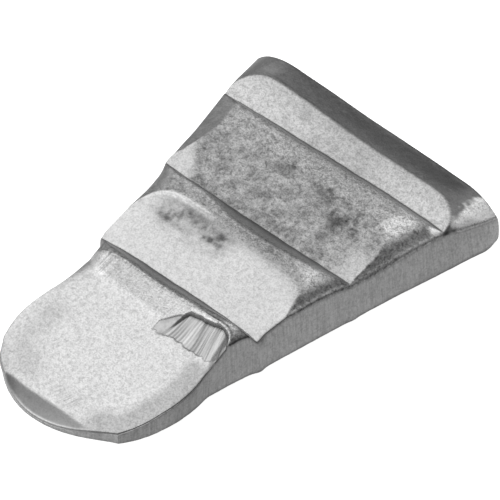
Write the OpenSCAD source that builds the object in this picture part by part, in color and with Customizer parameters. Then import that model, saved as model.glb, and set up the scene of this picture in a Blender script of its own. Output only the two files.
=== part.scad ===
// Barbed steel wedge, pressed and forged in one piece.
// The thin round end is driven in first and the thick wide end is struck.
// Three saw-tooth barbs across the top stop it from backing out.
// Frame: +Y points to the struck end, +X to the right, +Z up.
// The origin is on the flat underside, below the middle of the part.

/* [Plan outline] */
// Overall length, from the round tip to the struck end
length = 49.4; // [35:0.1:65]
// Width across the struck end
head_w = 32.5; // [24:0.1:44]
// Angle by which each side leans in toward the tip
side_taper = 10.8; // [4:0.1:14]
// Radius of the round, thin tip
spoon_r = 10.8; // [8:0.1:12]
// How far the round tip sits to the left of the centre line
spoon_shift = 1.2; // [0:0.1:1.5]
// How far the right corner of the tip stands out from the round outline
tip_corner = 0.6; // [0.1:0.1:1]

/* [Tip] */
// Thickness of the tip edge
tip_t = 0.55; // [0.3:0.05:1]
// Length of the ground bevel behind the tip edge
tip_bevel = 1.7; // [0.5:0.1:3]
// Thickness at the top of that bevel
spoon_t = 1.4; // [1.1:0.1:2]
// Thickness where the thin end meets the step
step_foot_t = 3.8; // [3:0.1:4.5]
// Length of the ramp from the thin end up to the first ridge
step_run = 2.95; // [1.5:0.05:5]
// Distance from the tip to the neck, where the straight sides begin
neck = 13.6; // [12.5:0.1:14.5]

/* [Barbs] */
// Number of barbs
barbs = 3; // [2:1:3]
// Full thickness, at the ridges and on the flat strips behind the barbs
crown_t = 6.05; // [5.2:0.05:8]
// Distance from one barb groove to the next
barb_pitch = 11.45; // [10:0.05:11.8]
// Distance from the tip to the first groove
first_groove = 19.85; // [17:0.05:21]
// Thickness left under each groove
groove_t = 4.7; // [4:0.1:5]
// Thickness left under the last groove, which is pressed less deep
last_groove_t = 5.3; // [4.6:0.1:5.3]
// Slope of the steep face that falls from a ridge into its groove
barb_slope = 34; // [25:1:60]
// Slope of the long smooth face pressed behind each groove
land_slope = 9; // [9:0.5:14]

/* [Head and edges] */
// Thickness at the struck end
head_t = 5.7; // [4.5:0.1:6.2]
// Radius along the lower edge of the struck end
heel_r = 1.2; // [0.5:0.1:2]
// Height of the plain side faces
side_h = 4.6; // [3.5:0.1:5.5]
// Angle of the bevels above the side faces
side_bevel = 32; // [20:1:45]
// Distance from the first groove to the start of the right bevel
bevel_start = 0.4; // [0.2:0.1:2]

/* [Hidden] */
$fn = 128;

// Lengths from the origin
tip_y = -length / 2;
head_y = length / 2;
spoon_y = tip_y + spoon_r;
first_y = tip_y + first_groove;
foot_y = first_y - drop(0) / tan(barb_slope) - step_run;
neck_y = tip_y + neck;

// Half width of the part at any length, along its straight sides
function half_w(y) = head_w / 2 - (head_y - y) * tan(side_taper);

// Side view of each barb: its ridge, its groove and the far end of its pressed face
function groove_y(i) = first_y + i * barb_pitch;
function groove_z(i) = i == barbs - 1 ? last_groove_t : groove_t;
function drop(i) = crown_t - groove_z(i);
function barb_points(i) = [
    [groove_y(i) - drop(i) / tan(barb_slope), crown_t],
    [groove_y(i), groove_z(i)],
    [groove_y(i) + drop(i) / tan(land_slope), crown_t]
];

// Quarter round along the lower edge of the struck end, from the end face to the underside
function heel_points(steps) = [
    for (k = [0:steps])
        let (a = -90 * k / steps)
            [head_y - heel_r + heel_r * cos(a), heel_r + heel_r * sin(a)]
];

// The part's plan as an upright block: straight tapered sides and a round tip
module plan_block(height) {
    linear_extrude(height = height)
        polygon([
            [-head_w / 2, head_y],
            [head_w / 2, head_y],
            [half_w(neck_y), neck_y],
            [-half_w(neck_y), neck_y]
        ]);
    translate([-spoon_shift, spoon_y, 0]) {
        cylinder(h = height, r = spoon_r);
        tip_corner_block(height);
    }
}

// The corner of the tip that stands a little proud of the round outline
module tip_corner_block(height) {
    corner_a = -45;
    half_span = 25;
    reach = spoon_r + tip_corner;
    linear_extrude(height = height)
        polygon([
            [0, 0],
            [spoon_r * cos(corner_a - half_span), spoon_r * sin(corner_a - half_span)],
            [reach * cos(corner_a), reach * sin(corner_a)],
            [spoon_r * cos(corner_a + half_span), spoon_r * sin(corner_a + half_span)]
        ]);
}

// Outline seen from the right side
module side_outline() {
    polygon(concat(
        [
            [tip_y, 0],
            [tip_y, tip_t],
            [tip_y + tip_bevel, spoon_t],
            [foot_y, step_foot_t]
        ],
        [for (i = [0:barbs - 1]) each barb_points(i)],
        [[head_y, head_t]],
        heel_points(6)
    ));
}

// Space above the right side bevel, from a given length to past the struck end
module above_bevel(from_y) {
    reach = 10;
    translate([half_w(from_y), from_y, side_h])
        rotate([0, 0, -side_taper])
            rotate([0, side_bevel, 0])
                translate([-reach, 0, 0])
                    cube([2 * reach, 2 * length, reach]);
}

// The whole wedge
module wedge_body() {
    color([0.66, 0.67, 0.68])
        difference() {
            intersection() {
                plan_block(2 * side_h);
                rotate([90, 0, 90])
                    translate([0, 0, -head_w])
                        linear_extrude(height = 2 * head_w)
                            side_outline();
            }
            above_bevel(first_y + bevel_start);
            mirror([1, 0, 0])
                above_bevel(foot_y);
        }
}

wedge_body();
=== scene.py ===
"""Barbed steel wedge on a pale studio floor.

The wedge is one forged piece, so it is one mesh: a fine grid over the top, walls down its outline
and a coarser grid underneath. Shape numbers are in millimetres. x runs to the right, z up, and
s runs toward the struck end, with s = 0 at the first groove. The mesh also carries the numbers
that its steel material reads: tone, grain, patina, streak and sheared.
"""

import math

import bpy
import numpy as np
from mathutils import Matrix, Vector


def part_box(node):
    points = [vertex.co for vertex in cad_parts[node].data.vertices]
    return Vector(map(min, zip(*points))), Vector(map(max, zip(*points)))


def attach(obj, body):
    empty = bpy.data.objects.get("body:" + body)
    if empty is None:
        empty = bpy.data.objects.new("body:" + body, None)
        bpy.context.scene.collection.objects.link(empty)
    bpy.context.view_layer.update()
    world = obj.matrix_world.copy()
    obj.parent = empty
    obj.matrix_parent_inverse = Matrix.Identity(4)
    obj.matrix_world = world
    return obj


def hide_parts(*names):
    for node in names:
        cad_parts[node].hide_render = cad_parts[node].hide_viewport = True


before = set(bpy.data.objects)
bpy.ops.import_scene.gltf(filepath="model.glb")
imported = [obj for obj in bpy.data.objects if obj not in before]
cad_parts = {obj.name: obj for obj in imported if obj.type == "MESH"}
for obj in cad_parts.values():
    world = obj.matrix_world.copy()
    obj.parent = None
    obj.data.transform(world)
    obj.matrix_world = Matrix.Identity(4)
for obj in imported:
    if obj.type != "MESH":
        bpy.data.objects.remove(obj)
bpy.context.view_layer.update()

MM = 0.001
low, high = (np.array(corner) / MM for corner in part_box("wedge_body"))
FIRST_GROOVE_Y = low[1] + 19.85
HEAD_S = high[1] - FIRST_GROOVE_Y
HEAD_HALF = high[0]
CROWN = high[2] - 0.05

# Plan outline
SIDE_TAPER = math.tan(math.radians(10.83))
SPOON_X = -1.22
SPOON_S = -8.81
SPOON_R = 10.92
LEFT_ANGLE = -149.0
CORNER_ANGLE = -43.6
CORNER_PROUD = 0.62
HEAD_CORNER_R = 0.15
EDGE_R = 0.1
HEEL_R = 0.45
UNDER_R = 0.08
SIDE_DRAFT = 0.2

# Top surface
SPOON_SLOPE = 0.185
BEVEL_S = -18.15
BEVEL_Z = 1.4
BEVEL_SLOPE = 0.5
RIDGE_S = -2.0
GROOVES = (0.0, 11.6, 22.9)
LAND_SLOPES = (0.158, 0.176, 0.19)
RIDGE_BLENDS = (0.35, 0.55, 0.6)
# Widths of the painted shade along the bottoms of the three grooves
VALLEY_SHADE_WIDTHS = (0.5, 0.6, 0.35)

# Grid
COLUMNS = 232
SPOON_ROWS = 84
BODY_ROWS = 232
BOTTOM_STEP = 4
BACK_S = -5.0
WALL_LEVELS = (0.03, 0.08, 0.16, 0.27, 0.38, 0.49, 0.6, 0.7, 0.79, 0.86, 0.92, 0.96, 0.985, 1.0)

# Finish below the top
UNDERSIDE_TONE = 0.85
WALL_GRAIN = 0.4

# Studio: lengths in metres, angles in degrees, the lens and the aim in millimetres
FLOOR_REACH = 6.0
FLOOR_GAP = 0.00002
CAMERA_AZIMUTH = 42.4354
CAMERA_ELEVATION = 46.3602
CAMERA_DISTANCE = 2.0833
CAMERA_LENS = 1500
CAMERA_AIM = (1.89, 3.594, 4.728)

# Lights, as (cosine of the angle from the light's middle, level)
MAIN_TOWARD = (-0.5, -0.15, 0.85)
MAIN_LIGHT = ((-1.0, 0.12), (0.0, 0.16), (0.45, 0.2), (0.59, 0.26), (0.68, 0.5), (0.76, 0.95), (0.84, 1.35),
              (0.92, 1.45), (1.0, 1.45))
BACK_TOWARD = (0.3, 0.72, 0.62)
BACK_LIGHT = ((-1.0, 0.0), (0.84, 0.0), (0.95, 0.8), (1.0, 0.9))
FLOOR_TOWARD = (0, 0, -1)
FLOOR_GLOW = ((-1.0, 0.0), (0.0, 0.04), (0.2, 0.25), (0.5, 0.47), (1.0, 0.5))


# ---------------------------------------------------------------- helpers

def smooth_curve(t, stations, values):
    """Smooth curve through a few (station, value) points, level beyond its ends."""
    s = np.array(stations, float)
    v = np.array(values, float)
    slope = np.gradient(v, s)
    t = np.clip(t, s[0], s[-1])
    k = np.clip(np.searchsorted(s, t, side="right") - 1, 0, len(s) - 2)
    span = s[k + 1] - s[k]
    f = (t - s[k]) / span
    start = (1 + 2 * f) * (1 - f) ** 2 * v[k] + f * (1 - f) ** 2 * span * slope[k]
    end = f * f * (3 - 2 * f) * v[k + 1] + f * f * (f - 1) * span * slope[k + 1]
    return start + end


def step(t, start, end):
    """0 before start, 1 after end, smooth between."""
    f = np.clip((t - start) / (end - start), 0, 1)
    return f * f * (3 - 2 * f)


def bump(t, centre, width):
    """1 at the centre, falling smoothly to 0 over about two widths."""
    return np.exp(-(((t - centre) / width) ** 2))


def soft_min(a, b, blend):
    h = np.clip(0.5 + 0.5 * (b - a) / blend, 0, 1)
    return b + (a - b) * h - blend * h * (1 - h)


def soft_max(a, b, blend):
    return -soft_min(-a, -b, blend)


def value_noise(x, y, cell, seed):
    """Smooth random values from -1 to 1, with features about one cell across."""
    side = 512
    lattice = np.random.default_rng(seed).uniform(-1, 1, (side, side))
    gx = x / cell + side / 2
    gy = y / cell + side / 2
    ix = np.floor(gx).astype(int)
    iy = np.floor(gy).astype(int)
    fx = (gx - ix) ** 2 * (3 - 2 * (gx - ix))
    fy = (gy - iy) ** 2 * (3 - 2 * (gy - iy))
    ix %= side
    iy %= side
    jx = (ix + 1) % side
    jy = (iy + 1) % side
    near = lattice[ix, iy] * (1 - fx) + lattice[jx, iy] * fx
    far = lattice[ix, jy] * (1 - fx) + lattice[jx, jy] * fx
    return near * (1 - fy) + far * fy


def spaced(count, length, crowds):
    """count + 1 places from 0 to length, closer together round each (place, width, weight)."""
    fine = np.linspace(0, length, 6000)
    density = np.ones_like(fine)
    for place, width, weight in crowds:
        density += weight * np.exp(-np.abs(fine - place) / width)
    total = np.concatenate([[0], np.cumsum((density[1:] + density[:-1]) / 2)])
    return np.interp(np.linspace(0, total[-1], count + 1), total, fine)


# ---------------------------------------------------------------- plan outline

def half_width(s):
    return HEAD_HALF - (HEAD_S - s) * SIDE_TAPER


def head_rounding(s):
    """How far the upright corners of the struck end pull the sides in."""
    to_end = np.clip(HEAD_CORNER_R - (HEAD_S - s), 0, HEAD_CORNER_R)
    return HEAD_CORNER_R - np.sqrt(HEAD_CORNER_R**2 - to_end**2)


def right_edge(s):
    """x of the top's right edge behind the tip corner."""
    circle = SPOON_X + np.sqrt(np.maximum(SPOON_R**2 - (s - SPOON_S) ** 2, 0))
    proud = 0.8 * np.clip((-12.0 - s) / 4.7, 0, 1) ** 1.5
    straight = half_width(s) - SIDE_DRAFT * step(s, -6, 0) * (1 - step(s, 25, 28.5)) - head_rounding(s)
    barb_ends = 0.22 * bump(s, 0.1, 0.7) + 0.1 * bump(s, GROOVES[1], 0.6)
    spoon = np.where(s < SPOON_S + 5, circle + proud, 0)
    return soft_max(spoon, np.where(s < -8, 0, straight + barb_ends), 0.25)


def left_edge(s):
    """x of the top's left edge behind the round of the tip."""
    waist = smooth_curve(s, (-14.4, -13.2, -12.2, -10.3, -8.3, -6.0, -4.5, -2.7, -1.2, -0.5, 0.0),
                         (10.45, 10.68, 10.75, 10.6, 10.23, 9.85, 9.8, 9.97, 10.15, 10.2, 10.65))
    inset = smooth_curve(s, (0, 1, 2.5, 5, 9, 11, 11.7, 13, 15.4, 22.7, 26, HEAD_S),
                         (-0.1, -0.15, 0.0, 0.25, 0.42, 0.4, 0.25, 0.38, 0.45, 0.4, 0.3, -0.05))
    return -np.where(s < 0, waist, half_width(s) - inset - head_rounding(s))


def tip_radius(angle):
    """Radius of the tip's outline at an angle in degrees, up to the proud right corner."""
    corner = CORNER_PROUD * np.exp(np.minimum(angle - CORNER_ANGLE, 0) / 7.0)
    front_left = 0.24 * bump(angle, -137, 6) - 0.12 * bump(angle, -138, 16)
    return SPOON_R + corner + 0.17 * bump(angle, -96, 26) + front_left


def tip_arc(u):
    """Front edge from left (u = 0) to the proud right corner (u = 1)."""
    angle = LEFT_ANGLE + (CORNER_ANGLE - LEFT_ANGLE) * u
    radius = tip_radius(angle)
    angle = np.radians(angle)
    return SPOON_X + radius * np.cos(angle), SPOON_S + radius * np.sin(angle)


def plan_grid():
    """x and s of every top vertex, as arrays of rows from the tip and columns from the left."""
    u = spaced(COLUMNS, 1, [(0, 0.012, 5), (1, 0.012, 5)])
    v = spaced(SPOON_ROWS, 1, [(0, 0.012, 5), (1, 0.03, 0.5)])
    front_x, front_s = tip_arc(u)
    left_s = front_s[0] + (BACK_S - front_s[0]) * v
    right_s = front_s[-1] + (BACK_S - front_s[-1]) * v
    left_x = front_x[0] + left_edge(left_s) - left_edge(front_s[0])
    left_x = left_x + (left_edge(BACK_S) - left_x[-1]) * v
    right_x = front_x[-1] + right_edge(right_s) - right_edge(front_s[-1])
    right_x = right_x + (right_edge(BACK_S) - right_x[-1]) * v
    back_x = left_edge(BACK_S) + (right_edge(BACK_S) - left_edge(BACK_S)) * u
    ruled = []
    for front, back, left, right in ((front_x, back_x, left_x, right_x),
                                     (front_s, np.full_like(u, BACK_S), left_s, right_s)):
        across = np.outer(1 - v, front) + np.outer(v, back)
        along = np.outer(left, 1 - u) + np.outer(right, u)
        corners = (np.outer(1 - v, front[0] * (1 - u) + front[-1] * u)
                   + np.outer(v, back[0] * (1 - u) + back[-1] * u))
        ruled.append(across + along - corners)
    crowds = [(0.0, 1.2, 1.5), (RIDGE_S - BACK_S, 0.7, 2), (HEAD_S - BACK_S, 0.25, 5)]
    for groove in GROOVES:
        crowds += [(groove - BACK_S, 0.4, 2), (groove - 1.8 - BACK_S, 0.5, 1)]
    body_s = BACK_S + spaced(BODY_ROWS, HEAD_S - BACK_S, crowds)[1:]
    left_x = left_edge(body_s)[:, None]
    right_x = right_edge(body_s)[:, None]
    body_x = left_x + (right_x - left_x) * u[None, :]
    body_s = body_s[:, None] + 0 * body_x
    return np.vstack([ruled[0], body_x]), np.vstack([ruled[1], body_s])


# ---------------------------------------------------------------- top surface

def right_roll(x, s):
    """How far the blank falls away toward its right edge."""
    drop = smooth_curve(s, (-2.2, 0.5, 3, 9, 12, 14.5, 17.5, 21.6, 23.2, 24.5, 25.3, 27.2, HEAD_S),
                        (0.2, 0.8, 0.95, 1.0, 1.45, 1.5, 1.25, 1.2, 1.3, 1.65, 1.95, 2.2, 2.25))
    fade = smooth_curve(s, (0, 3, 7, 9.5, 12, 17, 22, 23.2, 24.5, 25.3, 26, HEAD_S),
                        (0.9, 1.3, 1.45, 1.2, 1.1, 1.0, 1.0, 1.1, 1.05, 1.27, 1.5, 1.6))
    from_right = np.maximum(right_edge(s) - x, 0)
    rolled = np.exp(-from_right / fade)
    planed = soft_max(1 - from_right / 2.9, 0.0, 0.5)
    return drop * (rolled + 0.5 * (planed - rolled) * step(s, 26.4, 28))


def left_roll(x, s):
    """How far the blank falls away toward its left edge."""
    drop = smooth_curve(s, (-3, -2, 0, 2.6, 5, 10, 12, 14, 16.6, 20.5, 24.5, 27.5, HEAD_S),
                        (2.4, 2.7, 2.1, 1.95, 1.8, 1.8, 1.35, 1.1, 1.15, 1.0, 0.95, 1.6, 2.0))
    fade = smooth_curve(s, (-2, 1, 4, 9, 11, 13, 20, 24, 26, HEAD_S),
                        (1.0, 0.9, 0.6, 1.0, 0.9, 0.6, 1.2, 1.0, 1.2, 1.5))
    from_left = np.maximum(x - left_edge(s), 0)
    rolled = np.exp(-from_left / fade)
    planed = soft_max(1 - from_left / 2.3, 0.0, 0.15)
    return drop * (rolled + (planed - rolled) * step(s, 12.5, 14) * (1 - step(s, 22.5, 24)))


def blank_top(x, s):
    """The forged bar before pressing: a flat crown that rolls off to the sides and the end."""
    crown = CROWN + smooth_curve(s, (-3, 8, 16, 24, 26.4, 28, HEAD_S),
                                 (-0.05, 0.05, 0, 0, -0.03, -0.13, -0.28))
    end_wave = smooth_curve(x, (-15.5, -13.9, -12.3, -9, -5.5, -2.5, 4, 8, 12, 15),
                            (-0.1, 0.1, 0.24, 0.14, 0.04, -0.12, -0.2, -0.26, -0.32, -0.15))
    return crown + end_wave * step(s, 26.5, HEAD_S) - right_roll(x, s) - left_roll(x, s)


def groove_floor(k, x, s):
    """Height of pressed face k where it meets its groove."""
    if k == 0:
        return 4.7 - smooth_curve(s, (0, 2.9, 4.5, 8), (0.6, 0.23, 0.08, 0.04)) * (np.abs(x) / 10.6) ** 4
    if k == 1:
        return 4.72 + 0.1 * (np.abs(x) / 12.4) ** 4
    return 5.34 + 0.008 * x - 0.04 * step(x, -1, -5) - (0.2 + 0.3 * (x > 0)) * (np.abs(x) / 14.3) ** 4


def groove_line(k, x):
    """s of the bottom of groove k: the tools sat slightly askew."""
    wave = 0.02 * np.sin(x * 0.9 + k) + 0.015 * np.sin(x * 2.3 + 2 * k)
    return GROOVES[k] + (0.0, 0.004, 0.02)[k] * x + wave


def barb_slope(k, x):
    """Slope of the steep face before groove k."""
    if k == 0:
        return smooth_curve(x, (-10, -7.5, -4, 1, 5, 7, 9), (1.15, 0.98, 0.82, 0.84, 1.05, 1.3, 1.5))
    if k == 1:
        return smooth_curve(x, (-12.5, -9, -7, -5, -3, 3, 7, 11),
                            (1.38, 1.36, 1.32, 1.1, 0.82, 0.68, 0.78, 0.95))
    return smooth_curve(x, (-14, -8, -2, 14), (1.3, 0.95, 0.78, 0.75))


def tool_face(k, x, s):
    """The pressing tool k: a steep face before its groove and a long gentle one behind."""
    back = s - groove_line(k, x)
    steep = -back * barb_slope(k, x)
    gentle = back * LAND_SLOPES[k]
    return groove_floor(k, x, s) + soft_max(steep, gentle, 0.06)


def spoon_polar(x, s):
    angle = np.degrees(np.arctan2(s - SPOON_S, x - SPOON_X))
    angle = np.where(angle > 90, angle - 360, angle)
    radius = np.hypot(x - SPOON_X, s - SPOON_S)
    return angle, radius


def bevel_line(x):
    """s of the crease behind the ground bevel."""
    return BEVEL_S + 0.5 * step(x, -3.5, -7.5)


def spoon_top(x, s):
    """The thin round end: a sloping flat, a ground bevel across its tip, a rolled rim and left side."""
    flat = BEVEL_Z + SPOON_SLOPE * (s - BEVEL_S)
    line = bevel_line(x)
    bevel = BEVEL_Z + SPOON_SLOPE * (line - BEVEL_S) + BEVEL_SLOPE * (s - line)
    angle, radius = spoon_polar(x, s)
    rim_drop = smooth_curve(angle, (-180, -166, -155, -146, -140, -122, -105, -90, -75, -58, -44, -30,
                                    -18, 0),
                            (0.14, 0.3, 0.69, 0.9, 1.0, 0.9, 0.3, 0.05, 0.08, 0.25, 0.2, 0.12, 0.03, 0))
    fade = smooth_curve(angle, (-180, -150, -122, -90, -58, -40, 0), (1.5, 2.0, 1.2, 0.8, 1.5, 2.2, 1.5))
    inside = np.maximum(tip_radius(angle) - radius, 0)
    rolled = rim_drop * np.exp(-inside / fade)
    from_left = np.maximum(x - left_edge(s), 0)
    left_side = smooth_curve(s, (-8, -4.1, -2.0), (0, 0.47, 1.0)) * np.exp(-from_left / 0.85)
    return soft_min(flat, bevel, 0.04) - rolled - left_side


def ridge_line(x):
    """s of the first ridge, which swings forward at the right."""
    swell = 0.15 * bump(x, -5.5, 2.5) + 0.2 * bump(x, 4.5, 2.5)
    return RIDGE_S + swell - 0.3 * step(x, 7, 8.6) - 1.25 * step(x, 8.4, 10.0)


def ramp_top(x, s):
    """The ramp from the thin end up to the first ridge."""
    line = ridge_line(x)
    slope = smooth_curve(x, (-8, 0, 3), (0.95, 0.88, 0.75))
    return blank_top(x, np.full_like(s, RIDGE_S)) - (line - s) * slope


def patch_place(x, s):
    """Torn patch at the right of the ramp: distances inside it, from its front, its back and its ribs."""
    zigzag = 0.16 * value_noise(x, 0 * s, 0.55, 11) + 0.05 * value_noise(x, 0 * s, 0.2, 17)
    front = -5.15 + zigzag - 0.3 * step(x, 4, 1.5)
    back = smooth_curve(x, (3.3, 3.6, 4.4, 6.1, 8.4, 9.4, 9.9),
                        (-3.0, -2.6, -2.35, -2.2, -2.2, -2.95, -3.8))
    back = back + 0.05 * value_noise(x, 0 * s, 0.4, 12)
    left = 1.3 + 1.35 * np.maximum(s + 4.3, 0)
    from_front = s - front
    past_back = s - back
    from_left = x - left
    from_ribs = x - 2.67 - 0.45 * (s + 4.67)
    return np.minimum(np.minimum(from_front, -past_back), from_left), from_front, past_back, from_ribs


def patch_ribs(x, s):
    """Drag marks along the floor of the torn patch, from about -1 to 1."""
    across = x + 0.093 * (x - 5.46) * (s + 3.5)
    fine = value_noise(across, s * 0.05, 0.11, 13)
    return np.clip(0.9 * fine + 0.55 * value_noise(across, s * 0.04, 0.3, 14), -1, 1)


def torn_patch(x, s, thin):
    """The thin end with its torn patch: a lower ribbed floor and a curled lip round the back of it."""
    inside, from_front, past_back, from_ribs = patch_place(x, s)
    share = np.clip(from_front / np.maximum(from_front - past_back, 0.1), 0, 1)
    ribbed = step(from_ribs, -0.1, 0.15)
    depth = 0.04 + 0.03 * ribbed + (0.03 + 0.33 * ribbed) * share**2 * (1 - 0.6 * step(x, 8.2, 9.8))
    floor = thin - depth + 0.012 * patch_ribs(x, s) * ribbed
    cut = step(inside, -0.03, 0.07)
    uneven = value_noise(x, s, 0.3, 15)
    lip = (0.12 + 0.04 * uneven) * bump(past_back, 0.22, 0.2) * step(x, 3.3, 4.0) * (1 - step(x, 9.8, 10.3))
    return thin + (floor - thin) * cut, lip, cut


def top_layers(x, s):
    """Every face that limits the top, for its height and for its finish."""
    ramp = ramp_top(x, s)
    spoon = spoon_top(x, s)
    thin, lip, cut = torn_patch(x, s, soft_max(spoon, ramp, 0.35))
    thin = np.where(s < 2, thin, 99)
    return {
        "blank": blank_top(x, s) + lip,
        "spoon": spoon,
        "ramp": ramp,
        "thin": thin,
        "cut": cut,
        "pressed": np.minimum.reduce([tool_face(k, x, s) for k in range(len(GROOVES))]),
    }


def edge_distance(x, s):
    """Distance in from the outline, near enough for rounding the edge."""
    angle, radius = spoon_polar(x, s)
    side = np.minimum(right_edge(s) - x, x - left_edge(s))
    head = HEAD_S - s
    on_arc = (angle < CORNER_ANGLE) & (angle > LEFT_ANGLE)
    front = np.where(on_arc, tip_radius(angle) - radius, 99)
    side = np.where(on_arc & (s < SPOON_S), 99, side)
    return np.maximum(np.minimum(np.minimum(side, head), front), 0)


def place_mark(x, s, at_x, at_s, wide, long):
    """1 at a place on the top, falling to 0 about wide and long away from it."""
    return bump(x, at_x, wide) * bump(s, at_s, long)


def surface_relief(x, s, zones):
    """Small real bumps: waves everywhere, grit on the forged skin and a raised seam."""
    grit = value_noise(x, s, 0.42, 3) + 0.6 * value_noise(x, s, 0.25, 4)
    swell = value_noise(x, s, 2.6, 5) + 0.5 * value_noise(x, s, 1.2, 6)
    rough = 0.2 + 0.8 * zones["forged"] + 0.5 * zones["lands"][1] * step(s, 13, 17)
    return 0.014 * swell + 0.012 * grit * rough * (1 - zones["cut"]) + 0.03 * zones["raised_seam"]


def edge_rounding(s, from_edge):
    """How far the top falls as it rounds over into the walls."""
    radius = EDGE_R + 0.06 * step(s, -15, -17)
    inside = np.clip(radius - from_edge, 0, radius)
    return radius - np.sqrt(radius**2 - inside**2)


def top_zones(x, s, layers, ridges):
    """How far each place belongs to each kind of face, from 0 to 1, and its distance from the edge."""
    thin = layers["thin"]
    pressed = layers["pressed"]
    above = layers["blank"] - pressed
    onset = 0.25 * ridges[0] + 0.8 * ridges[1] * step(x, -9, -4) + 0.4 * ridges[2]
    fray = 0.05 * value_noise(x, s, 0.4, 31) * step(s, 1, 3)
    fray = fray * np.maximum(step(x, -3, 0), step(s, 9, 10)) * (1 - step(s, 23, 24))
    past_blank = np.minimum(pressed, thin) - layers["blank"]
    forged = step(past_blank + onset + fray, -0.03, 0.06 + 1.2 * onset)
    on_thin = (1 - forged) * step(pressed - thin, -0.02, 0.02)
    tooled = (1 - forged) * (1 - on_thin)
    lands = []
    for k in range(len(GROOVES)):
        past_groove = s - groove_line(k, x)
        lands.append(tooled * step(past_groove, -0.05, 0.05) * (np.abs(past_groove - 4) < 6))
    seam = bump(above, 0, 0.035) * step(s, 1, 3)
    from_edge = edge_distance(x, s)
    return {
        "forged": forged,
        "thin": on_thin,
        "ramp": on_thin * step(layers["ramp"] - layers["spoon"], -0.05, 0.15),
        "lands": lands,
        "steep": np.clip(tooled - lands[0] - lands[1] - lands[2], 0, 1),
        "cut": layers["cut"],
        "raised_seam": seam,
        # painted highlight along the raised seam, with a second thin line beside it
        "seam_highlight": seam + 0.7 * bump(above, 0.07, 0.02) * step(s, 1, 3),
        "fringe": bump(above, 0.03, 0.1) * bump(s, 8.3, 2.5) * step(x, -5, -2),
        "edge": from_edge,
        "rim": bump(from_edge, 0.05, 0.13),
    }


def top_surface(x, s):
    """Height of the top, and the finish numbers that the material reads."""
    layers = top_layers(x, s)
    ridges = [bump(s - groove_line(k, x), -1.5, 1.0) for k in range(len(GROOVES))]
    blend = 0.05 + sum(soft * near for soft, near in zip(RIDGE_BLENDS, ridges))
    z = soft_min(layers["blank"], layers["pressed"], blend)
    z = soft_min(z, layers["thin"], 0.08)
    zones = top_zones(x, s, layers, ridges)
    z = z + surface_relief(x, s, zones) - edge_rounding(s, zones["edge"])
    return z, top_finish(x, s, zones)


# ---------------------------------------------------------------- finish of the top

def forged_marks(x, s):
    """Marks on the forged skin, each from 0 to 1; the glint strip, the end and the corner also carry
    painted light and shade.
    """
    from_right = right_edge(s) - x
    from_left = x - left_edge(s)
    behind_first = step(s, 1, 4)
    head = step(s, 24.6, 25.6)
    reach = smooth_curve(s, (23.6, 24.7, 26.2, 27.6, HEAD_S), (-0.2, 0.45, 1.35, 1.85, 2.1))
    past_reach = from_right - reach + 0.4 * value_noise(x, s, 0.35, 32)
    # corner and worn_spot: worn, smooth steel, which forged_tone also paints with a highlight
    corner = step(past_reach, 0.35, -0.45) * step(s, 23.4, 24.2)
    worn_spot = np.clip(1.6 * place_mark(x, s, 14.05, 22.5, 0.5, 0.5), 0, 1)
    smooth_side = step(from_left, 2.5, 2.0) * step(s, 13.5, 15) * (1 - step(s, 22.5, 23.5))
    shoulder = bump(from_right, 0.7 + 0.3 * step(s, 11, 14), 0.7)
    return {
        "shoulder": shoulder * behind_first * (1 - step(s, 21.8, 23)),
        # painted highlight: a thin strip of glints along the right edge
        "painted_glint_strip": step(from_right, 0.45, 0.2) * behind_first * (1 - step(s, 21.5, 22.5)),
        "head": head,
        # painted shade on the struck end
        "shaded_end": np.maximum(head, step(s, 22.7, 23.3) * step(x, 12, 13.5)),
        "corner": np.maximum(corner, worn_spot),
        "smooth_side": smooth_side + step(from_left, 2.2, 1.7) * bump(s, 9.7, 2.0),
    }


def forged_tone(x, s, marks):
    """Tone of the forged skin: strips between the barbs, dark shoulders, painted glints along the right
    edge, painted shade on the struck end, and a worn corner lit with a painted highlight.
    """
    from_right = right_edge(s) - x
    from_left = x - left_edge(s)
    before_first = step(s, 0, -1)
    facet = place_mark(x, s, 8.3, -1.5, 0.9, 0.6)
    stain = step(x, 9.0, 9.8) * (1 - step(s, -0.5, 0.5))
    tone = 0.9 + 0.14 * step(s, 17, 20)
    tone = tone - (0.12 + 0.18 * step(x, 2, 5)) * before_first * (1 - facet)
    tone = tone + 0.6 * facet * before_first
    tone = tone + 0.45 * bump(from_right, 2.9, 1.3) * step(s, 6.5, 8.5)
    tone = tone + 0.03 * bump(s, 9.8, 1.3) * (1 - step(x, 4, 8))
    tone = tone - 0.16 * step(s, 17, 20) * bump(x, 1.0, 6.0)
    tone = tone + 0.1 * before_first * step(from_left, 3.0, 1.0)
    # the glint strip is brightened as a painted highlight
    tone = tone * (1 - 0.6 * marks["shoulder"]) * (1 + 0.7 * marks["painted_glint_strip"]) * (1 - 0.45 * stain)
    tone = tone * (1 - 0.15 * np.exp(-from_left / 1.4))
    tone = tone * (1 - (0.08 + 0.22 * step(s, 16, 19)) * marks["smooth_side"])
    # scale is the tone of painted shade on the struck end's bevel, which tilts away from the light
    scale = 0.32 - 0.08 * step(x, 1, -7) + 0.4 * step(x, -11.0, -14.5)
    tone = tone + (scale - tone) * marks["shaded_end"]
    # painted highlight on the worn corner, brighter than bare steel and brightest near the right edge where
    # the top rolls away from the light
    bright = 1.55 + 0.55 * bump(from_right, 0.2, 0.7)
    return tone + (bright - tone) * marks["corner"]


def bevel_zone(x, s, zones):
    """1 on the ground bevel across the tip."""
    return zones["thin"] * step(bevel_line(x) - s, -0.2, 0.1)


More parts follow.
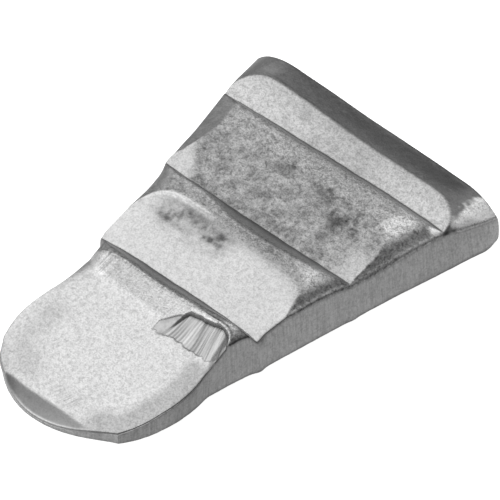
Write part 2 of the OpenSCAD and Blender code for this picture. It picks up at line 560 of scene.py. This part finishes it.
def spoon_tone(x, s, zones):
    """Tone of the thin end and the ramp: bright, with painted light on the ramp, painted shade (a dark
    lens) on the bevel and a painted highlight along its rim.
    """
    edge = zones["edge"]
    rim = zones["rim"]
    bevel = bevel_zone(x, s, zones)
    # lens and shade: painted shade on the tilted bevel across the tip
    lens = bevel * (1 - step(x, 3.0, 5.4)) * (1 - rim)
    shade = 0.72 - 0.12 * step(x, -3, 4) + 0.04 * step(x - left_edge(s), 2.5, 0.5)
    shade = shade - 0.05 * step(s, -18.6, -19.3)
    right_zone = step(edge, 3.1, 1.7) * step(x, 2.5, 4.5) * (1 - step(s, -6.5, -5))
    left_zone = bump(edge, 2.4, 1.6) * step(x, -3, -5) * step(s, -18, -16.5) * (1 - step(s, -10, -7))
    # painted light: the sloping ramp is brightened, most at its steep left end, to look as lit as the flat
    tone = 1.0 + (0.12 + 0.5 * step(x, -6, -8.5)) * zones["ramp"]
    tone = tone - shade * lens - 0.2 * bevel * (1 - lens) * (1 - rim)
    # painted highlight along the rounded rim of the bevel
    tone = tone + 0.3 * rim * bevel * (1 - step(x, 1, 5))
    return tone - 0.3 * right_zone * (1 - bevel) - 0.2 * left_zone


def patch_tone(x, s, past_back, from_ribs, speckle):
    """Tone of the torn patch's floor: ribbed at the right, plain at the left, with a painted shadow under
    the lip and a line of painted shade where the ribbed part drops away.
    """
    plain = 0.62 + 0.1 * speckle
    tone = 0.6 + 0.32 * patch_ribs(x, s)
    tone = tone + (plain - tone) * step(from_ribs, 0.15, -0.15)
    # painted shadow in the undercut below the lip
    under_lip_shadow = bump(past_back, -0.06 + 0.06 * speckle, 0.17) * step(x, 3.2, 3.8)
    # painted shade: a thin dark line where the ribbed part of the floor drops away
    return tone * (1 - 0.5 * under_lip_shadow) * (1 - 0.1 * bump(from_ribs, 0, 0.12))


def pressed_tone(x, s, zones):
    """Tone of the pressed faces: the long ones bright, the steep ones darkened toward the grooves with
    painted shade.
    """
    lands = zones["lands"]
    # painted shade in the creases at the bottoms of the grooves
    valley_shade = sum(bump(s - groove_line(k, x), -0.1, VALLEY_SHADE_WIDTHS[k]) for k in range(len(GROOVES)))
    steep = (0.92 - (0.45 + 0.08 * step(s, 8, 9)) * valley_shade) * (1 - 0.1 * (s < 2))
    steep = steep * (1 + 0.2 * step(s, 20, 21) + 0.15 * step(s, 8, 9) * step(x, 2, 8))
    first = 0.93 - 0.04 * step(x, 2, 8) - 0.3 * step(s, 6.2, 8.8)
    last = 0.95 - 0.14 * bump(x, 0.5, 7) - 0.12 * step(s, 24.4, 26.2)
    return zones["steep"] * steep + lands[0] * first + lands[1] * 0.9 + lands[2] * last


def steel_tone(x, s, zones, marks, seam):
    """Tone of all the faces together, with the torn patch, its lip and the marks at the edges; the lip and
    the seam carry painted highlights, and painted shade lies behind the lip, along the patch's front step
    and on the right rim of the thin end.
    """
    _, from_front, past_back, from_ribs = patch_place(x, s)
    cut = zones["cut"]
    speckle = value_noise(x, s, 0.25, 23)
    # painted shade in a thin band just behind the lip
    behind_lip_shade = bump(past_back, 0.5, 0.1) * step(x, 3.6, 4.4) * (1 - step(x, 9.6, 10.2))
    forged = forged_tone(x, s, marks) * (1 - 0.4 * behind_lip_shade)
    thin = spoon_tone(x, s, zones)
    thin = thin + (patch_tone(x, s, past_back, from_ribs, speckle) - thin) * cut
    # painted shade: a thin dark line along the small step down at the patch's front edge
    thin = thin * (1 - 0.2 * bump(from_front, 0.0, 0.045) * step(x, 1.2, 1.8) * zones["thin"])
    tone = zones["forged"] * forged + zones["thin"] * thin + pressed_tone(x, s, zones)
    # painted highlight on the crest of the curled lip
    lip = bump(past_back, 0.2, 0.17) * step(x, 3.3, 4.0) * (1 - step(x, 9.8, 10.4)) * (1 - cut)
    tone = tone + (1.2 + 0.25 * speckle - tone) * lip
    # painted highlight along the raised seam
    tone = tone + (1.35 - tone) * seam
    # painted shade on the rounded right edge of the thin end, in place of its highlight
    right_rim_shade = zones["rim"] * step(x, 3, 6) * step(s, -13, -9)
    nick = place_mark(x, s, -0.85, 13.3, 0.35, 0.12)
    return tone * (1 - 0.5 * right_rim_shade) * (1 - 0.55 * nick) * (1 - 0.12 * zones["fringe"])


def dull_middle(x, s):
    """The stained middle of the second pressed face, short of its bright left end and right corner."""
    bright_end = smooth_curve(s, (12, 13, 14.1, 15.2, 16.2), (3.2, 2.9, 2.0, 1.2, 0.0))
    right_corner = step(x, 8.0, 11.5) * (1 - step(s, 14, 17))
    return step(x - left_edge(s) - bright_end, -0.7, 0.7) * (1 - 0.75 * right_corner)


def stain_chain(x, s):
    """Dark patches in a row along the far side of the second pressed face."""
    chain = step(x, -8.5, -6.5) * (1 - step(x, 9.5, 10.8)) * bump(s, 19.6 - 0.06 * x, 0.85)
    chain = chain + 0.8 * place_mark(x, s, 5.5, 17.6, 1.5, 0.8)
    chain = chain + 0.8 * place_mark(x, s, 7.2, 16.5, 1.3, 0.9)
    breaks = value_noise(x, s, 0.8, 24) + 0.5 * value_noise(x, s, 0.35, 25)
    return 1.25 * chain * (0.7 + 0.3 * step(breaks, -0.5, 0.3))


def patina_share(x, s, zones, marks, middle):
    """Stains: strong on the second pressed face, weaker on the others and on the forged skin."""
    lands = zones["lands"]
    clouds = 0.5 + 0.5 * value_noise(x, s, 1.5, 21) + 0.35 * value_noise(x, s, 0.6, 22)
    clouds = np.clip(clouds, 0, 1)
    worn = lands[1] * (0.64 * middle + stain_chain(x, s))
    drift = 1.15 + 0.5 * value_noise(0.45 * x, s, 0.6, 33) + 0.4 * value_noise(x, s, 0.35, 34)
    blot = bump(s, 6.4, 1.5) * step(x, -9.5, -7) * (1 - step(x, -1.0, 2.0))
    faint = lands[0] * blot * np.clip(drift, 0, 1.5)
    mottle = 0.3 * lands[2] * clouds * step(x, -12, -5) * (1 - 0.5 * step(x, 8, 12))
    skin = 0.3 * zones["forged"] * (1 - marks["head"]) * clouds
    return np.clip(worn + faint + mottle + skin, 0, 1)


def grain_share(x, s, zones, marks, middle, seam):
    """Grain: strong on the forged skin, weak where a tool or wear made the steel smooth and along the
    painted seam highlight.
    """
    lands = zones["lands"]
    calm = 0.6 * marks["smooth_side"] + 0.75 * marks["shaded_end"] * (1 - marks["corner"])
    calm = np.clip(calm + 0.3 * marks["corner"] + 0.8 * seam, 0, 1)
    grain = zones["forged"] * (1.1 + 0.3 * marks["painted_glint_strip"]) * (1 - calm)
    grain = grain + zones["thin"] * (0.45 - 0.3 * bevel_zone(x, s, zones)) * (1 - zones["cut"])
    grain = grain + lands[0] * (0.35 + 0.5 * zones["fringe"])
    grain = grain + lands[1] * (0.45 + 0.45 * middle) + lands[2] * 0.6
    return grain + zones["steep"] * 0.3


def streak_share(x, s, zones):
    """Drag lines on the ramp and just behind the bevel."""
    on_ramp = zones["ramp"] * (1 - zones["cut"])
    streak = on_ramp * (0.12 + 0.5 * bump(x, -7.6, 1.6) + 0.3 * bump(x, 2.0, 1.5))
    streak = streak + 0.55 * place_mark(x, s, 0.2, -16.6, 2.6, 0.8)
    return np.clip(streak, 0, 1)


def top_finish(x, s, zones):
    """Tone, grain, patina and streak over the top."""
    marks = forged_marks(x, s)
    middle = dull_middle(x, s)
    # seam: the painted highlight along the raised seam, kept to the left part of the first pressed face
    seam = np.clip(zones["seam_highlight"], 0, 1) * place_mark(x, s, -7.0, 8.0, 4.0, 3.0)
    return {
        "tone": steel_tone(x, s, zones, marks, seam),
        "grain": grain_share(x, s, zones, marks, middle, seam),
        "patina": patina_share(x, s, zones, marks, middle),
        "streak": streak_share(x, s, zones),
    }


# ---------------------------------------------------------------- mesh

def outline_ring(rows, columns):
    """Vertex numbers round the edge of a grid, anticlockwise from the tip's left corner."""
    grid = np.arange(rows * columns).reshape(rows, columns)
    return np.concatenate([grid[0, :-1], grid[:-1, -1], grid[-1, :0:-1], grid[:0:-1, 0]])


def wall_points(top, level, normal, arc):
    """One ring of the wall, part of the way from the top edge down to the underside."""
    ring = top.copy()
    ring[:, 2] = top[:, 2] * (1 - level)
    side = np.abs(normal[:, 0]) * step(top[:, 1], -5, 1)
    right = step(normal[:, 0], 0.5, 0.9)
    flare = smooth_curve(top[:, 1], (14, 17, 21, 24, 27, 27.5, 28.2, 28.8, 29.4),
                         (0.32, 0.36, 0.52, 0.6, 0.6, 0.59, 0.44, 0.28, 0.06))
    draft = flare * side * right * level
    draft = draft - 0.15 * bump(top[:, 1], -9.3, 2.8) * right * step(level, 0.1, 0.8)
    shear = 0.012 * value_noise(arc, ring[:, 2] * 0.12, 0.3, 8) * step(level, 0.02, 0.2)
    to_floor = np.clip(UNDER_R - ring[:, 2], 0, UNDER_R)
    under = UNDER_R - np.sqrt(UNDER_R**2 - to_floor**2)
    head = step(normal[:, 1], 0.3, 0.9)
    tip = step(-top[:, 1], 13, 16)
    rim = (0.08 + 0.14 * head - 0.06 * tip) * math.sin(math.pi * min(level, 0.9) / 1.2) ** 0.5
    ring[:, :2] += normal * (draft + shear - under + rim)[:, None]
    return round_heel(ring)


def round_heel(ring):
    """Pull the foot of the struck end forward along the tapered sides, as its rounded lower edge."""
    heel = np.clip(HEEL_R - ring[:, 2], 0, HEEL_R)
    pulled = (HEEL_R - np.sqrt(HEEL_R**2 - heel**2)) * step(ring[:, 1], HEAD_S - 1.6, HEAD_S)
    scale = half_width(ring[:, 1] - pulled) / half_width(ring[:, 1])
    ring[:, 1] -= pulled
    ring[:, 0] *= np.where(pulled > 0, scale, 1)
    return ring


def side_tone(ring, level, normal):
    """Tone round one ring of the wall: a painted highlight along the top rim at the tip, painted shade on
    the top edge at the right and in the crease below the first barb's corner, and a dark foot.
    """
    right = step(normal[:, 0], 0.3, 0.7)
    tip = step(-ring[:, 1], 8, 13)
    rim = step(0.1 - level, 0.0, 0.05)
    # the rim term is a painted highlight along the wall's top rim at the tip
    plain = 0.835 + 0.14 * tip + (0.08 + 0.45 * rim) * tip * (1 - right)
    plain = plain + 0.1 * step(ring[:, 1], 22, 28)
    plain = plain - 0.28 * bump(ring[:, 1], -11, 6) * right
    plain = plain - 0.18 * bump(ring[:, 1], -16.5, 2) * right
    # painted shade on the top edge of the right wall near the tip, in place of its highlight
    top_edge_shade = max(0.0, 1 - 14 * level)
    plain = plain - 0.35 * top_edge_shade * right * step(ring[:, 1], -13, -9)
    low_edge = step(ring[:, 2], 0.5, 0.1) * (1 - 0.6 * tip)
    # painted shade in the crease on the right wall below the first barb's corner
    notch_shade = bump(ring[:, 1], 0.7, 0.4) * step(normal[:, 0], 0.5, 0.9) * max(0.0, 1 - 2.5 * level)
    return plain * (1 - 0.45 * low_edge) * (1 - 0.4 * notch_shade)


def wedge_mesh():
    """Vertices, faces and finish numbers of the whole wedge."""
    x, s = plan_grid()
    z, finish = top_surface(x, s)
    rows, columns = x.shape
    top = np.stack([x, s, z], -1).reshape(-1, 3)
    grid = np.arange(rows * columns).reshape(rows, columns)
    quads = np.stack([grid[:-1, :-1], grid[:-1, 1:], grid[1:, 1:], grid[1:, :-1]], -1).reshape(-1, 4)
    faces = quads.tolist()
    ring = outline_ring(rows, columns)
    edge = top[ring]
    along = np.roll(edge, -1, 0) - np.roll(edge, 1, 0)
    normal = np.stack([along[:, 1], -along[:, 0]], -1)
    normal /= np.linalg.norm(normal, axis=1)[:, None]
    arc = np.cumsum(np.linalg.norm(np.roll(edge, -1, 0) - edge, axis=1))
    vertices = [top]
    sheared = [np.zeros(len(top))]
    wall_tone = []
    above = ring
    start = len(top)
    for level in WALL_LEVELS:
        vertices.append(wall_points(edge, level, normal, arc))
        sheared.append(np.full(len(ring), min(1.0, level * 12)))
        wall_tone.append(side_tone(vertices[-1], level, normal))
        below = np.arange(start, start + len(ring))
        faces += np.stack([above, below, np.roll(below, -1), np.roll(above, -1)], -1).tolist()
        above = below
        start += len(ring)
    under, under_faces = underside(x, s, vertices[-1], above, start)
    vertices.append(under)
    sheared.append(np.zeros(len(under)))
    faces += under_faces
    wall_tone = np.concatenate(wall_tone + [np.full(len(under), UNDERSIDE_TONE)])
    below_top = {"tone": wall_tone, "grain": WALL_GRAIN, "patina": 0.0, "streak": 0.0}
    whole = {}
    for name, values in finish.items():
        rest = np.broadcast_to(below_top[name], wall_tone.shape)
        whole[name] = np.concatenate([values.ravel(), rest])
    whole["sheared"] = np.concatenate(sheared)
    return np.vstack(vertices), faces, whole


def wall_path(a, b, ring_numbers, position):
    """Vertex a and the wall vertices between it and b, where both lie on the border."""
    if a not in position or b not in position:
        return [a]
    count = len(ring_numbers)
    gap = (position[b] - position[a]) % count
    if gap == BOTTOM_STEP:
        return [int(ring_numbers[(position[a] + k) % count]) for k in range(gap)]
    if count - gap == BOTTOM_STEP:
        return [int(ring_numbers[(position[a] - k) % count]) for k in range(BOTTOM_STEP)]
    return [a]


def underside(x, s, floor_ring, ring_numbers, start):
    """The flat underside: a coarse grid whose border cells take in every vertex of the wall."""
    rows = (x.shape[0] - 1) // BOTTOM_STEP
    columns = (x.shape[1] - 1) // BOTTOM_STEP
    numbers = np.full((rows + 1, columns + 1), -1)
    place = np.zeros((rows + 1, columns + 1, 3))
    count = len(ring_numbers)
    border = outline_ring(rows + 1, columns + 1)
    flat_numbers = numbers.reshape(-1)
    flat_place = place.reshape(-1, 3)
    flat_numbers[border] = ring_numbers[np.arange(0, count, BOTTOM_STEP)]
    flat_place[border] = floor_ring[np.arange(0, count, BOTTOM_STEP)]
    inner = flat_numbers < 0
    coarse_x = x[::BOTTOM_STEP, ::BOTTOM_STEP].reshape(-1)
    coarse_s = s[::BOTTOM_STEP, ::BOTTOM_STEP].reshape(-1)
    shrink_end = HEEL_R * step(coarse_s, HEAD_S - 6, HEAD_S)
    flat_place[inner, 0] = coarse_x[inner] * 0.99
    flat_place[inner, 1] = (coarse_s - shrink_end)[inner]
    flat_numbers[inner] = start + np.arange(inner.sum())
    position = {int(n): k for k, n in enumerate(ring_numbers)}
    faces = []
    for j in range(rows):
        for i in range(columns):
            around = ((j, i), (j + 1, i), (j + 1, i + 1), (j, i + 1))
            corners = [int(numbers[place_at]) for place_at in around]
            face = []
            for a, b in zip(corners, corners[1:] + corners[:1]):
                face += wall_path(a, b, ring_numbers, position)
            faces.append(face)
    return flat_place[inner], faces


def forged_wedge():
    vertices, faces, finish = wedge_mesh()
    vertices = vertices + np.array([0, FIRST_GROOVE_Y, 0])
    mesh = bpy.data.meshes.new("forged_wedge")
    mesh.from_pydata((vertices * MM).tolist(), [], faces)
    for name, values in finish.items():
        layer = mesh.attributes.new(name, "FLOAT", "POINT")
        layer.data.foreach_set("value", values.astype(np.float32))
    mesh.polygons.foreach_set("use_smooth", [True] * len(mesh.polygons))
    mesh.set_sharp_from_angle(angle=math.radians(50))
    mesh.update()
    piece = bpy.data.objects.new("forged_wedge", mesh)
    bpy.context.scene.collection.objects.link(piece)
    return piece


# ---------------------------------------------------------------- material

class Graph:
    """Short calls for the shader nodes of one material."""

    def __init__(self, material):
        material.use_nodes = True
        self.tree = material.node_tree
        self.shader = self.tree.nodes["Principled BSDF"]

    def feed(self, socket, value):
        if isinstance(value, (int, float)):
            socket.default_value = value
        else:
            self.tree.links.new(value, socket)

    def attribute(self, name):
        node = self.tree.nodes.new("ShaderNodeAttribute")
        node.attribute_name = name
        return node.outputs["Fac"]

    def millimetres(self, stretch, turn):
        """Object coordinates in millimetres, turned clockwise and each axis divided by its stretch."""
        place = self.tree.nodes.new("ShaderNodeTexCoord")
        scale = self.tree.nodes.new("ShaderNodeMapping")
        scale.vector_type = "TEXTURE"
        scale.inputs["Rotation"].default_value = (0, 0, -math.radians(turn))
        scale.inputs["Scale"].default_value = [MM * k for k in stretch]
        self.tree.links.new(place.outputs["Object"], scale.inputs["Vector"])
        return scale.outputs[0]

    def noise(self, cell, detail=2.0, stretch=(1, 1, 1), turn=0.0, warp=0.0):
        """Noise from 0 to 1 with features about one cell (mm) across."""
        node = self.tree.nodes.new("ShaderNodeTexNoise")
        self.tree.links.new(self.millimetres(stretch, turn), node.inputs["Vector"])
        node.inputs["Scale"].default_value = 1 / cell
        node.inputs["Detail"].default_value = detail
        node.inputs["Roughness"].default_value = 0.6
        node.inputs["Distortion"].default_value = warp
        return node.outputs[0]

    def math(self, operation, a, b):
        node = self.tree.nodes.new("ShaderNodeMath")
        node.operation = operation
        self.feed(node.inputs[0], a)
        self.feed(node.inputs[1], b)
        return node.outputs[0]

    def spread(self, value, low, high, to_low, to_high):
        """value from low..high mapped to to_low..to_high, held at the ends."""
        node = self.tree.nodes.new("ShaderNodeMapRange")
        self.feed(node.inputs["Value"], value)
        node.inputs["From Min"].default_value = low
        node.inputs["From Max"].default_value = high
        node.inputs["To Min"].default_value = to_low
        node.inputs["To Max"].default_value = to_high
        return node.outputs[0]

    def darken(self, value, amount, share):
        """value times (1 - amount * share)."""
        loss = self.math("MULTIPLY", amount, share)
        return self.math("MULTIPLY", value, self.math("SUBTRACT", 1.0, loss))

    def grey(self, value):
        node = self.tree.nodes.new("ShaderNodeCombineColor")
        for socket in node.inputs[:3]:
            self.tree.links.new(value, socket)
        return node.outputs[0]

    def bump(self, height, distance, strength, normal=None):
        node = self.tree.nodes.new("ShaderNodeBump")
        node.inputs["Strength"].default_value = strength
        node.inputs["Distance"].default_value = distance * MM
        self.tree.links.new(height, node.inputs["Height"])
        if normal is not None:
            self.tree.links.new(normal, node.inputs["Normal"])
        return node.outputs[0]


def steel_material():
    """Tumbled bare steel: bright where a tool pressed it, dull, grained and stained elsewhere."""
    material = bpy.data.materials.new("forged_steel")
    g = Graph(material)
    tone = g.attribute("tone")
    grain = g.attribute("grain")
    patina = g.attribute("patina")
    streak = g.attribute("streak")
    sheared = g.attribute("sheared")

    specks = g.noise(0.19, 3.0)
    grit = g.noise(0.45, 4.0, warp=0.6)
    blotch = g.noise(1.8, 5.0, warp=0.3)
    lines = g.noise(0.2, 2.0, stretch=(1, 16, 90), turn=23.0)
    shear = g.noise(0.22, 3.0, stretch=(1, 1, 16))

    # tone carries painted highlights and painted shade as well as the steel's own tone
    value = g.math("MULTIPLY", tone, 0.67)
    value = g.darken(value, g.spread(specks, 0.42, 0.68, 0, 0.45), g.spread(grain, 0, 1, 0.2, 1))
    value = g.darken(value, g.spread(grit, 0.45, 0.75, 0, 0.55), grain)
    value = g.darken(value, g.spread(blotch, 0.40, 0.62, 0.35, 1), g.math("MULTIPLY", patina, 0.8))
    value = g.darken(value, g.spread(lines, 0.42, 0.62, 0, 0.5), streak)
    value = g.darken(value, g.spread(shear, 0.42, 0.7, 0, 0.22), sheared)
    g.tree.links.new(g.grey(value), g.shader.inputs["Base Color"])

    rough = g.spread(grain, 0, 1, 0.30, 0.48)
    rough = g.math("ADD", rough, g.spread(grit, 0.3, 0.7, -0.04, 0.06))
    g.tree.links.new(rough, g.shader.inputs["Roughness"])
    g.shader.inputs["Metallic"].default_value = 1.0

    height = g.math("MULTIPLY", specks, g.spread(grain, 0, 1, 0.3, 1.4))
    height = g.math("ADD", height, g.math("MULTIPLY", grit, grain))
    height = g.math("ADD", height, g.math("MULTIPLY", lines, g.math("MULTIPLY", streak, 0.7)))
    height = g.math("ADD", height, g.math("MULTIPLY", shear, g.math("MULTIPLY", sheared, 0.7)))
    g.tree.links.new(g.bump(height, 0.05, 0.7), g.shader.inputs["Normal"])
    return material


# ---------------------------------------------------------------- studio

def studio_floor():
    mesh = bpy.data.meshes.new("studio_floor")
    reach = FLOOR_REACH
    corners = [(-reach, -reach, 0), (reach, -reach, 0), (reach, reach, 0), (-reach, reach, 0)]
    mesh.from_pydata(corners, [], [(0, 1, 2, 3)])
    floor = bpy.data.objects.new("studio_floor", mesh)
    bpy.context.scene.collection.objects.link(floor)
    floor.location.z = -FLOOR_GAP
    floor.visible_glossy = False
    material = bpy.data.materials.new("pale_floor")
    material.use_nodes = True
    paint = material.node_tree.nodes["Principled BSDF"]
    paint.inputs["Base Color"].default_value = (0.9, 0.9, 0.9, 1)
    paint.inputs["Roughness"].default_value = 0.9
    paint.inputs["Specular IOR Level"].default_value = 0.0
    paint.inputs["Emission Color"].default_value = (1, 1, 1, 1)
    paint.inputs["Emission Strength"].default_value = 0.8
    mesh.materials.append(material)
    return floor


def light_lobe(tree, toward, stops):
    """World light that depends only on the angle from one direction: (cosine, level) stops."""
    nodes = tree.nodes
    place = nodes.new("ShaderNodeTexCoord")
    cosine = nodes.new("ShaderNodeVectorMath")
    cosine.operation = "DOT_PRODUCT"
    cosine.inputs[1].default_value = Vector(toward).normalized()
    place_ramp = nodes.new("ShaderNodeMapRange")
    place_ramp.inputs["From Min"].default_value = -1
    ramp = nodes.new("ShaderNodeValToRGB")
    elements = ramp.color_ramp.elements
    while len(elements) < len(stops):
        elements.new(0.5)
    for element, (cos, level) in zip(elements, stops):
        element.position = (cos + 1) / 2
        element.color = (level, level, level, 1)
    glow = nodes.new("ShaderNodeBackground")
    tree.links.new(place.outputs["Generated"], cosine.inputs[0])
    tree.links.new(cosine.outputs["Value"], place_ramp.inputs["Value"])
    tree.links.new(place_ramp.outputs[0], ramp.inputs[0])
    tree.links.new(ramp.outputs[0], glow.inputs["Color"])
    return glow.outputs[0]


def studio_world():
    """A broad soft light high on the left, a small one behind, a dim floor glow, and a white backdrop."""
    world = bpy.data.worlds.new("studio")
    bpy.context.scene.world = world
    world.use_nodes = True
    tree = world.node_tree
    nodes = tree.nodes
    nodes.clear()
    lobes = [light_lobe(tree, MAIN_TOWARD, MAIN_LIGHT),
             light_lobe(tree, BACK_TOWARD, BACK_LIGHT),
             light_lobe(tree, FLOOR_TOWARD, FLOOR_GLOW)]
    total = lobes[0]
    for lobe in lobes[1:]:
        add = nodes.new("ShaderNodeAddShader")
        tree.links.new(total, add.inputs[0])
        tree.links.new(lobe, add.inputs[1])
        total = add.outputs[0]
    backdrop = nodes.new("ShaderNodeBackground")
    backdrop.inputs["Color"].default_value = (1, 1, 1, 1)
    ray = nodes.new("ShaderNodeLightPath")
    mix = nodes.new("ShaderNodeMixShader")
    out = nodes.new("ShaderNodeOutputWorld")
    tree.links.new(ray.outputs["Is Camera Ray"], mix.inputs[0])
    tree.links.new(total, mix.inputs[1])
    tree.links.new(backdrop.outputs[0], mix.inputs[2])
    tree.links.new(mix.outputs[0], out.inputs[0])


def studio_camera():
    """Long-lens camera above the right front of the wedge."""
    azimuth = math.radians(CAMERA_AZIMUTH)
    elevation = math.radians(CAMERA_ELEVATION)
    level = math.cos(elevation)
    back = Vector((math.sin(azimuth) * level, -math.cos(azimuth) * level, math.sin(elevation)))
    data = bpy.data.cameras.new("camera")
    data.lens = CAMERA_LENS
    data.sensor_width = 36
    data.clip_start = 0.1
    data.clip_end = 20
    camera = bpy.data.objects.new("camera", data)
    bpy.context.scene.collection.objects.link(camera)
    camera.location = Vector(CAMERA_AIM) * MM + back * CAMERA_DISTANCE
    camera.rotation_mode = "QUATERNION"
    camera.rotation_quaternion = (-back).to_track_quat("-Z", "Y")
    bpy.context.scene.camera = camera


# ---------------------------------------------------------------- scene

bpy.context.scene.view_settings.view_transform = "Standard"
studio_camera()
studio_world()
floor = studio_floor()

wedge = forged_wedge()
wedge.data.materials.append(steel_material())
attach(wedge, "root")
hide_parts("wedge_body")
